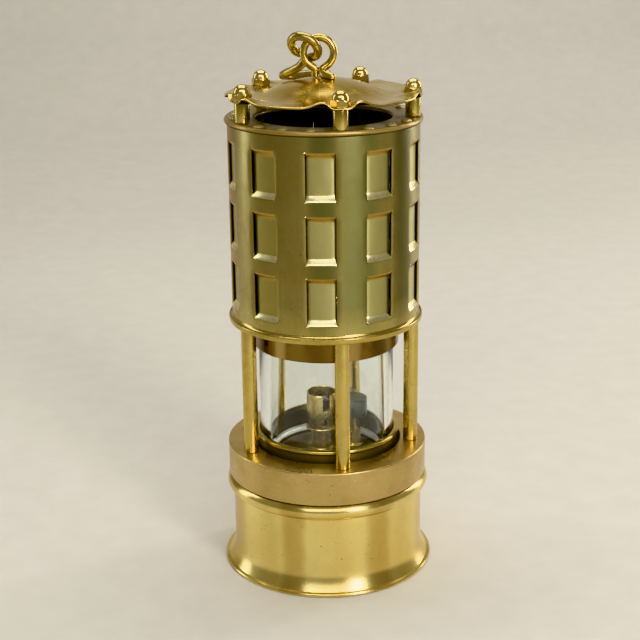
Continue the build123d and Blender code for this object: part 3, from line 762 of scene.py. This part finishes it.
def off_centre(azimuth):
    """Degrees to the middle of the nearest column of windows."""
    return abs((azimuth - WINDOW_AZ + SECTOR / 2) % SECTOR - SECTOR / 2)


def pressed(z, row, azimuth):
    """How far a window's panel lies behind the sheet."""
    low, high = WINDOW_ROWS[row]
    bend = eased((high - z) / TOP_SLOPE) * eased((z - low) / BOTTOM_SLOPE)
    side = off_centre(azimuth) / WINDOW_HALF
    return bend * (WINDOW_DEPTH - 0.12 * (1 - side ** 2) + 0.22 * smooth(0.8, 1.0, side))


def drawn_in(z, azimuth):
    """How far the sheet is drawn in along a window's sheared sides."""
    offset = off_centre(azimuth) - WINDOW_HALF
    if offset < 0:
        return 0.0
    beside = max(smooth(low, low + 3, z) * smooth(high, high - 3, z) for low, high in WINDOW_ROWS)
    return 0.4 * beside * (1 - smooth(0.0, 1.5, offset))


def bonnet_sheet():
    """The bonnet's sheet as a grid of its outer face. The windows' own points leave their two sides open."""
    across = [-WINDOW_HALF + 2 * WINDOW_HALF * t
        for t in (0, 0.03, 0.08, 0.16, 0.27, 0.38, 0.5, 0.62, 0.73, 0.84, 0.92, 0.97, 1)]
    gap = SECTOR - 2 * WINDOW_HALF
    beside = [WINDOW_HALF + gap * t for t in (0.02, 0.05, 0.1, 0.2, 0.35, 0.5, 0.65, 0.8, 0.9, 0.95, 0.98)]
    columns = [(WINDOW_AZ + SECTOR * w + a, k < len(across), k in (0, len(across) - 1))
        for w in range(WINDOW_COLUMNS) for k, a in enumerate(across + beside)]
    window_steps = (0, 0.012, 0.028, 0.045, 0.07, 0.092, 0.11, 0.128, 0.2, 0.35, 0.5, 0.65, 0.78, 0.853,
        0.872, 0.893, 0.92, 0.95, 0.97, 0.987, 1)
    heights = [(z, None) for z in (BONNET_Z + 2.4, 125.0, 126.8, 127.9)]
    next_lows = [low for low, high in WINDOW_ROWS[1:]] + [BONNET_TOP - 0.4]
    for row, ((low, high), above) in enumerate(zip(WINDOW_ROWS, next_lows)):
        heights += [(high - (high - low) * t, row) for t in reversed(window_steps)]
        heights += [(high + (above - high) * t, None) for t in (0.08, 0.2, 0.5, 0.8, 0.92)]
    heights += [(BONNET_TOP - 0.3, None), (BONNET_TOP, None)]

    points, faces, shell, panel = [], [], {}, {}
    for i, (azimuth, windowed, edge) in enumerate(columns):
        for j, (z, row) in enumerate(heights):
            low, high = WINDOW_ROWS[row or 0]
            inside = windowed and row is not None and low + 0.01 < z < high - 0.01
            if edge or not inside:
                shell[i, j] = len(points)
                points.append((*polar(BONNET_R - drawn_in(z, azimuth), azimuth), z))
            if inside:
                overlap = degrees(0.05 / BONNET_R) if edge else 0.0
                side = 1 if edge and i % (len(across) + len(beside)) else -1
                panel[i, j] = len(points)
                points.append((*polar(BONNET_R - pressed(z, row, azimuth), azimuth + side * overlap), z))
    for i in range(len(columns)):
        n = (i + 1) % len(columns)
        in_window = columns[i][1] and columns[n][1]
        for j in range(len(heights) - 1):
            row = heights[j][1]
            corners = ((i, j), (n, j), (n, j + 1), (i, j + 1))
            if in_window and row is not None and heights[j + 1][1] == row:
                face = tuple(panel.get(k, shell.get(k)) for k in corners)
            else:
                face = tuple(shell.get(k) for k in corners)
            if None not in face:
                faces.append(face)
    sheet = Solid().add(points, faces).piece("bonnet_sheet", SATIN, "frame", "bonnet_shell", 60.0)
    thicken(sheet, SHEET, 0.16)


def bonnet_edges():
    rim = Solid()
    inner, outer, mouth = BONNET_R - SHEET, BONNET_R - 0.1, 37.0
    foot = rounded([(inner, BONNET_Z), (FLANGE_R, BONNET_Z, 0.8), (FLANGE_R, BONNET_Z + 2.5, 0.9),
        (BONNET_R + 0.9, BONNET_Z + 2.6, 0.2)], 0.3, 5)
    foot += [(BONNET_R + 0.35, BONNET_Z + 2.8), (BONNET_R + 0.06, BONNET_Z + 3.5), (outer, BONNET_Z + 4.2),
        (inner, BONNET_Z + 4.0)]
    lathe(rim, foot, 224)
    top = [(mouth, BONNET_TOP - SHEET), (inner, BONNET_TOP - SHEET), (outer, BONNET_TOP - 0.6),
        (outer, BONNET_TOP - 0.02), (mouth, BONNET_TOP - 0.02)]
    lathe(rim, rounded(top, 0.2), 224)
    rim.piece("bonnet_rolled_edges", FLANGE_BRASS, "frame", "bonnet_shell")


def top_plate():
    """Annular plate on the bonnet, rolled at its rim and turned down at its hole, and its domed rivets."""
    hole, under, face = 30.7, BONNET_TOP, PLATE_TOP - 0.3
    outline = [(hole + 0.9, under), (BONNET_R, under), (BONNET_R, PLATE_Z + 0.3),
        (BONNET_R + 0.25, PLATE_Z + 0.02)]
    outline += arc((BONNET_R + 0.6, PLATE_Z), (PLATE_R, PLATE_Z + 1.15), (BONNET_R + 0.45, PLATE_TOP), 12)
    outline += [(BONNET_R + 0.1, PLATE_TOP - 0.22), (BONNET_R - 0.3, face), (hole + 1.3, face)]
    outline += arc((hole + 0.9, face - 0.03), (hole + 0.2, face - 0.4), (hole + 0.02, face - 1.2), 6)
    outline += [(hole + 0.1, under - 0.6), (hole + 0.6, under - 0.55)]
    turned("bonnet_top_plate_spun", TOP_BRASS, "frame", "bonnet_top_plate", outline, 224)
    low = level("top_plate_rivets")[0]
    outline = [(0, low), (1.3, low), (1.4, low + 0.3), (0.9, low + 0.62), (0.9, face), (2.3, face),
        (2.36, face + 0.12)]
    outline += arc((2.28, face + 0.28), (1.4, face + 0.84), (0, face + 1.08), 8)
    places = [polar(POST_CIRCLE, POST_AZ + POST_STEP * (bay + k / 4))
        for bay in range(POST_COUNT) for k in (1, 2, 3)]
    repeated("top_plate_rivets_domed", RIVET_BRASS, "top_plate_rivets", outline, 32, places)


# ---- crown ----
CROWN_SHEET, CROWN_RISE, BRIM_R = 1.0, 7.0, 36.5
DOME_R, DOME_EDGE = 60.0, 22.0
DOME_TOP = CROWN_Z + CROWN_RISE + CROWN_SHEET
# How far the brim is lifted beside each nut, from the front nut round.
LIPS = (2.4, 1.9, 0.5, 0.5, 1.9)


def crown_line(lift, count=36):
    """The crown's face line from its middle to the brim's edge."""
    line = []
    centre = sqrt(DOME_R ** 2 - DOME_EDGE ** 2)
    low, slope = CROWN_RISE - (DOME_R - centre), DOME_EDGE / centre
    for i in range(count + 1):
        r = (CROWN_R - 0.45) * i / count
        if r < DOME_EDGE:
            z = CROWN_RISE - (DOME_R - sqrt(DOME_R ** 2 - r * r))
        else:
            t = min((r - DOME_EDGE) / (BRIM_R - DOME_EDGE), 1.0)
            z = low * (1 - t) ** 2 * (1 + 2 * t) - slope * (BRIM_R - DOME_EDGE) * t * (1 - t) ** 2
        line.append((r, CROWN_Z + lift + z))
    return line


def crown():
    """Domed cover whose brim is lifted between the posts and pressed into a seat round each nut."""
    def press(r, z, turn):
        azimuth = degrees(turn) - POST_AZ
        offset = (azimuth + POST_STEP / 2) % POST_STEP - POST_STEP / 2
        lip = LIPS[round(azimuth / POST_STEP) % POST_COUNT]
        lifted = (0.3 + lip * exp(-((abs(offset) - 11.0) / 6.5) ** 2)) * smooth(32.0, 41.5, r)
        away = sqrt(max(r * r + POST_CIRCLE ** 2 - 2 * r * POST_CIRCLE * cos(radians(offset)), 0))
        return r, z + lifted * smooth(4.7, 7.6, away)

    edge_r = CROWN_R - 0.4
    edge = arc((edge_r, CROWN_Z + 0.02), (CROWN_R, CROWN_Z + 0.5), (edge_r, CROWN_Z + 0.98), 6)
    outline = crown_line(0.0) + edge + crown_line(CROWN_SHEET)[::-1]
    turned("crown_pressed", CROWN_BRASS, "frame", "crown", outline, 360, shape=press, sharp=60.0)


def nuts():
    """Acorn nuts: a chamfered hexagon with a ball top."""
    solid = Solid()
    bore, flats, corners, ball = 1.7, 3.85, 4.46, 3.6
    low, centre = CROWN_Z + CROWN_SHEET, NUT_TOP - ball
    outline = [(bore, low), (3.8, low)] + upright(corners, low + 0.02, centre + 0.1, 0.22)
    outline += [(3.62, centre + 0.16)] + arc((ball - 0.02, centre + 0.3), (2.55, centre + 2.55), (0, NUT_TOP))
    outline += [(0, low + 4.2), (bore, low + 4.2)]
    for k, at in enumerate(POSTS):
        first = radians(POST_AZ + POST_STEP * k)

        def hexagon(r, z, turn):
            if r < 3.9:
                return r, z
            face = (degrees(turn - first) + 30) % 60 - 30
            chamfer = 0.55 * (1 - smooth(low, low + 0.55, z)) + 0.95 * smooth(centre - 0.9, centre + 0.15, z)
            return min(flats / cos(radians(face)), corners - chamfer), z
        lathe(solid, outline, 96, at, hexagon)
    solid.piece("crown_nuts_acorn", NUT_BRASS, "frame", "crown_nuts", 32.0)


# ---- hanger and hook ----
EYE_X, EYE_Z, EYE_R, EYE_WIRE_R = -1.9, 242.0, 6.7, 1.7
HOOK_EYE_AT = Vector((-8.0, 0.0, 244.6))
HOOK_EYE_R, HOOK_TILT, HOOK_YAW = 6.4, 52.0, -30.0
HOOK_WIRE_R, HOOK_CAD_WIRE_R = 1.95, 1.75
CROOK_X, CROOK_R = -8.4, 11.0


def on_circle(r, angle):
    return r * cos(radians(angle)), r * sin(radians(angle))


def hanger_eye():
    """Wire bent to an omega that stands on the crown, its right end turned out along it."""
    left, right, top, neck_z = EYE_X - 1.55, EYE_X + 1.55, DOME_TOP, EYE_Z - 7.0
    path = [(left, 0.3, top - 3.0), (left, 0.3, top - 0.5), (left, 0.15, top + 1.6), (left - 0.2, 0, neck_z)]
    path += [(EYE_X + x, 0, EYE_Z + z) for x, z in (on_circle(EYE_R, a) for a in range(236, -59, -12))]
    path += [(right + 0.25, -0.1, neck_z), (right, -0.6, top + 2.9), (right + 0.5, -1.7, top + 1.7),
        (right + 2.1, -3.3, top + 1.2), (right + 4.2, -4.6, top + 0.85)]
    solid = wire(Solid(), smooth_path(path, 0.3), EYE_WIRE_R, 28)
    shank = rounded([(0, top - 3.6), (2.6, top - 3.6), (2.6, top + 0.1), (2.1, top + 0.5, 0.3),
        (0, top + 0.5)], 0.2)
    lathe(solid, shank, 40, (EYE_X, 0))
    solid.piece("hanger_eye_bent", YELLOW, "frame", "hanger_eye")


def hook():
    """One wire: a closed eye round the hanger, a swept shank over the crown and a crook behind the bonnet."""
    turn = Matrix.Rotation(radians(HOOK_YAW), 3, "Z") @ Matrix.Rotation(-radians(HOOK_TILT), 3, "X")

    def on_eye(angle, r=HOOK_EYE_R, lift=0.0):
        return turn @ Vector((*on_circle(r, angle), lift)) + HOOK_EYE_AT
    (_, _, low), (_, back, _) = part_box("hook")
    back_y, crook_z = back / MM - HOOK_CAD_WIRE_R, low / MM + HOOK_CAD_WIRE_R + CROOK_R
    shank_x, tip_x = CROOK_X + CROOK_R, CROOK_X - CROOK_R
    path = [on_eye(124, HOOK_EYE_R - 0.3, 0.9), on_eye(138, HOOK_EYE_R, 0.5)]
    path += [on_eye(a) for a in range(154, 433, 14)]
    path += [on_eye(446, HOOK_EYE_R + 0.15), (-8.1, 5.2, 238.0), (-10.6, 8.0, 235.0), (-13.6, 11.0, 232.9),
        (-16.6, 14.6, 231.2), (-18.2, 19.0, 229.7), (-17.4, 24.0, 228.9), (-14.0, 28.2, 228.3),
        (-8.5, 32.3, 228.1), (-3.0, 36.5, 228.0), (1.2, 41.0, 227.6), (shank_x, 45.2, 225.2),
        (shank_x, back_y, 219.5), (shank_x, back_y, 212.0), (shank_x, back_y, crook_z)]
    path += [(CROOK_X + x, back_y, crook_z + z)
        for x, z in (on_circle(CROOK_R, a) for a in range(-15, -180, -15))]
    path += [(tip_x, back_y, crook_z), (tip_x, back_y, crook_z + 6.8)]
    solid = wire(Solid(), smooth_path(path, 0.4), HOOK_WIRE_R, 28)
    solid.piece("hook_bent", HOOK_BRASS, "hook", "hook")


# ---- burner, wick and relighter ----
def burner():
    """The sheet shroud with its notch and hole, its floor, and the wick tube in the deck."""
    low, high = level("burner_shroud")
    outer, bore, tube_r, steps, rows = 7.1, 3.9, 4.5, 120, 48
    notch_az, notch_half, notch_z = 20, 13, high - 7.5
    hole_az, hole_r, hole_z = 8, 1.7, low + 4.2

    def open_at(azimuth, z):
        in_notch = abs(azimuth - notch_az) < notch_half and z > notch_z
        return in_notch or ((azimuth - hole_az) * outer * pi / 180) ** 2 + (z - hole_z) ** 2 < hole_r ** 2
    tall = high - low
    ring_at = [(BURNER_AT[0] + outer * sin(TAU * k / steps), BURNER_AT[1] - outer * cos(TAU * k / steps))
        for k in range(steps)]
    points = [(x, y, low + tall * j / rows) for j in range(rows + 1) for x, y in ring_at]
    faces = []
    for j in range(rows):
        for k in range(steps):
            azimuth = (360.0 * (k + 0.5) / steps + 180) % 360 - 180
            if not open_at(azimuth, low + tall * (j + 0.5) / rows):
                n, here, above = (k + 1) % steps, j * steps, (j + 1) * steps
                faces.append((here + k, here + n, above + n, above + k))
    solid = Solid().add(points, faces)
    thicken(solid.piece("burner_shroud_sheet", SOOTY_TUBE, "fount", "burner_shroud", 50.0), 0.6, 0.14)
    floor = rounded([(tube_r, low), (outer + 0.35, low, 0.3), (outer + 0.35, low + 0.9, 0.3),
        (outer - 0.6, low + 0.9), (outer - 0.6, low + 1.1), (tube_r, low + 1.1)], 0.12)
    turned("burner_shroud_floor", SOOTY_TUBE, "fount", "burner_shroud", floor, 96, BURNER_AT)
    bottom, top = level("wick_tube")
    deck = level("fount_deck")[1]
    tube = [(bore, bottom, 0.2), (tube_r, bottom, 0.2), (tube_r, deck, 0), (5.6, deck),
        (5.6, deck + 1.3, 0.5), (tube_r, deck + 1.6, 0.4), (tube_r, top, 0.25), (bore, top, 0.2)]
    turned("wick_tube_drawn", SOOTY_TUBE, "fount", "wick_tube", rounded(tube, 0.1), 72, BURNER_AT)


def wick():
    """Braided cotton with a frayed, burnt top."""
    def braid(r, z, turn):
        if r < 2.5 or z > WICK_TOP - 0.3:
            return r, z
        ply = sin(5 * turn + z * 1.7) * sin(5 * turn - z * 1.7)
        return r - 0.16 + 0.16 * ply, z
    outline = [(0, WICK_Z), (3.2, WICK_Z)] + upright(3.4, WICK_Z + 0.3, WICK_TOP - 1.0, 0.45)
    outline += [(3.0, WICK_TOP - 0.5), (2.0, WICK_TOP - 0.25), (0, WICK_TOP - 0.2)]
    solid = lathe(Solid(), outline, 60, BURNER_AT, braid)
    for _ in range(90):
        x, y = polar(3.0 * sqrt(random.random()), 360 * random.random())
        lean_x, lean_y = random.uniform(-0.35, 0.35), random.uniform(-0.35, 0.35)
        start = Vector((BURNER_AT[0] + x, BURNER_AT[1] + y, WICK_TOP - 0.9))
        end = start + Vector((lean_x, lean_y, 0.9 + random.uniform(-0.35, 0.0)))
        wire(solid, [start, start.lerp(end, 0.5) + Vector((0, 0, 0.05)), end], 0.14, 6)
    solid.piece("wick_braided", COTTON, "wick", "wick")


def relighter():
    low, high = level("striker_wheel")

    def serrated(r, z, turn):
        return (r - 0.3 * abs(sin(14 * turn + 0.35 * (z - low))), z) if r > 3.0 else (r, z)
    outline = [(1.6, low), (3.0, low)] + upright(3.4, low + 0.3, high - 0.3, 0.5) + [(3.0, high), (1.6, high)]
    turned("striker_wheel_cut", STEEL, "relighter", "striker_wheel", outline, 168, RELIGHTER_AT, serrated)
    low, high = level("relighter_stem")
    stem = rounded([(2.4, low), (4.6, low, 0.3), (4.6, low + 1.4, 0.5), (3.0, low + 1.8, 0.3),
        (3.0, high - 1.3, 0.2), (3.6, high - 1.0, 0.2), (3.6, high, 0.2), (2.4, high)], 0.1)
    turned("relighter_stem_turned", SOOTY_TUBE, "fount", "relighter_stem", stem, 64, RELIGHTER_AT)


def knobs():
    """The milled wick knob and the winged relighter key under the base."""
    def milled(r, z, turn):
        return (r - 0.5 * abs(sin(15 * turn)) ** 1.5, z) if r > 6.9 else (r, z)
    low, high = level("wick_knob")
    outline = [(0, low + 0.7), (2.0, low + 0.7), (2.4, low), (6.3, low), (6.8, low + 0.15)]
    outline += upright(7.45, low + 0.6, high - 0.6, 0.8)
    outline += [(6.8, high - 0.1), (6.3, high), (2.0, high), (0, high - 0.1)]
    turned("wick_knob_milled", POLISHED, "wick_adjuster", "wick_knob", outline, 240,
        middle("wick_spindle"), milled)
    low, high = level("relighter_key")
    span = 7.0

    def winged(r, z, turn):
        wing = (1.0 / ((abs(sin(turn)) / span) ** 5 + (abs(cos(turn)) / 1.35) ** 5)) ** 0.2
        hub = 3.6 - 0.25 * smooth(high, low, z)
        return r / span * (wing ** 5 + hub ** 5) ** 0.2, z
    outline = [(0, low), (span - 1.0, low), (span - 0.3, low + 0.25), (span, low + 0.9)]
    outline += [(span, high - 0.9), (span - 0.3, high - 0.25), (span - 1.0, high), (0, high)]
    turned("relighter_key_cast", POLISHED, "relighter", "relighter_key", outline, 180, RELIGHTER_AT,
        winged, 50.0)


# ---- CAD nodes that keep their shape ----
def keep_cad_nodes():
    """Each row is a material, the nodes whose edges are bevelled and the nodes left as they are."""
    for material, bevelled, plain in (
        (SOOTY, "fount_deck", ""),
        (BASE_BRASS, "fount_base_plate wick_gland relighter_gland filler_bush wick_carrier",
            "relighter_sealing_tube"),
        (SOOTY_TUBE, "flint_tube", ""),
        (POLISHED, "filler_plug", ""),
        (STEEL, "relighter_housing flint_screw", "flint_spring wick_spindle relighter_spindle tie_rods"),
        (FLINT, "", "flint"),
        (WADDING, "", "fuel_wadding"),
        (BROWN, "", "hanger_washer"),
    ):
        for name in bevelled.split() + plain.split():
            node = frame["nodes"][name]
            for socket in node.material_slots:
                socket.material = material
            if name in bevelled.split():
                refine(node, "WELD", merge_threshold=0.002 * MM)
                bevel(node, 0.22, harden_normals=False)


fount()
flat_ring("fount_gasket_cut", GASKET, "fount_seal", "fount_gasket", 41.0, 46.4, 0.22, wavy)
ring()
glass_seat()
flat_ring("lower_glass_packing", PACKING, "frame", "lower_glass_gasket", 25.5, GLASS_R, 0.22, wavy,
    proud=0.12)
glass()
flat_ring("upper_glass_packing", PACKING, "frame", "upper_glass_gasket", GLASS_R - GLASS_WALL, GLASS_R - 0.1,
    0.22, wavy)
collar()
flat_ring("middle_ring_turned", BROWN, "frame", "middle_ring", 25.8, 42.3)
flat_ring("gauze_ring_turned", BROWN, "frame", "gauze_ring", 27.7, 33.0)
pillars()
gauze("gauze_inner_woven", "gauze_inner", 24.0, 19.0)
gauze("gauze_outer_woven", "gauze_outer", 27.5, 22.5)
bonnet_sheet()
bonnet_edges()
top_plate()
crown()
nuts()
hanger_eye()
hook()
burner()
wick()
relighter()
knobs()
keep_cad_nodes()
flat_ring("filler_washer_cut", GASKET, "filler_seal", "filler_washer", 5.08, 7.15, 0.2, steps=64,
    at=middle("filler_washer"))


# ---- stage ----
def stage():
    """Plain pale floor that sweeps up behind the lamp."""
    s = Shader("stage", "stage_paper")
    grain = s.ramp(s.noise(s.place, 60.0, 3.0), (0.3, 0.0), (0.7, 1.0))
    s.set(Base_Color=s.mix(grain, (0.56, 0.53, 0.47), (0.59, 0.56, 0.5)), Roughness=0.75)
    profile = [(-2500, 0), (700, 0), (950, 30), (1150, 120), (1270, 280), (1300, 500), (1300, 2200)]
    points = [(x, y, z) for y, z in profile for x in (-3000, 3000)]
    faces = [(2 * i, 2 * i + 1, 2 * i + 3, 2 * i + 2) for i in range(len(profile) - 1)]
    Solid().add(points, faces).object("stage_floor", s.material)


def add_light(name, kind, at, power, tint):
    lamp = bpy.data.lights.new(name, kind)
    lamp.energy, lamp.color = power, tint
    made = add_object(name, lamp)
    made.location = at
    return made


def soft_light(name, at, target, size, power, tint):
    """A rectangular light aimed at a point."""
    made = add_light(name, "AREA", at, power, tint)
    made.data.shape = "RECTANGLE"
    made.data.size, made.data.size_y = size
    made.rotation_euler = (Vector(target) - Vector(at)).to_track_quat("-Z", "Y").to_euler()


def world():
    """A dim room: warm and dark ahead of the lamp, lighter above."""
    room = bpy.data.worlds.new("room")
    bpy.context.scene.world = room
    room.use_nodes = True
    nodes = Nodes(room.node_tree)
    height = nodes.node("SeparateXYZ", {0: nodes.node("TexCoord", out="Generated")}, 2)
    back = room.node_tree.nodes["Background"].inputs
    nodes.put(back["Color"], nodes.ramp(height, (0.0, (0.2, 0.185, 0.155)), (0.2, (0.36, 0.335, 0.28)),
        (0.8, (0.3, 0.29, 0.26))))
    back["Strength"].default_value = 0.8


def camera():
    """A camera a little above the lamp's top, looking down at it from the front."""
    pitch, roll = radians(90 - 17.75), radians(-0.68)
    lens = bpy.data.cameras.new("camera")
    lens.sensor_width, lens.lens = 36.0, 78.14
    made = add_object("camera", lens)
    turn = Matrix.Rotation(pitch, 4, "X") @ Matrix.Rotation(roll, 4, "Z")
    made.matrix_world = Matrix.Translation((-0.00266, -0.61908, 0.31642)) @ turn
    bpy.context.scene.camera = made


stage()
soft_light("window_left", (-1.0, 0.28, 0.4), (0, 0, 0.13), (0.22, 1.0), 2.4, (0.97, 1.0, 0.97))
soft_light("window_right", (0.6, -0.95, 0.6), (0, 0, 0.12), (0.26, 0.6), 7.0, (1.0, 0.99, 0.94))
soft_light("rim", (0.95, 0.62, 0.45), (0, 0, 0.13), (0.2, 0.8), 5.0, (1.0, 0.98, 0.95))
soft_light("ceiling", (0.1, -1.15, 0.98), (0, 0, 0.15), (1.5, 0.36), 8.5, (1.0, 0.99, 0.95))
soft_light("sky", (0.0, 0.35, 1.35), (0, 0.05, 0.0), (1.2, 0.9), 12, (1.0, 0.99, 0.97))
# Glass holds the studio's light back, so a faint light of its own shows the burner behind it.
glow = add_light("inside_the_glass", "POINT", (-0.01, -0.018, 0.098), 0.07, (1.0, 0.97, 0.88))
glow.data.shadow_soft_size = 0.006
glow.visible_camera = glow.visible_transmission = False
world()
camera()
bpy.context.scene.view_settings.view_transform = "Khronos PBR Neutral"
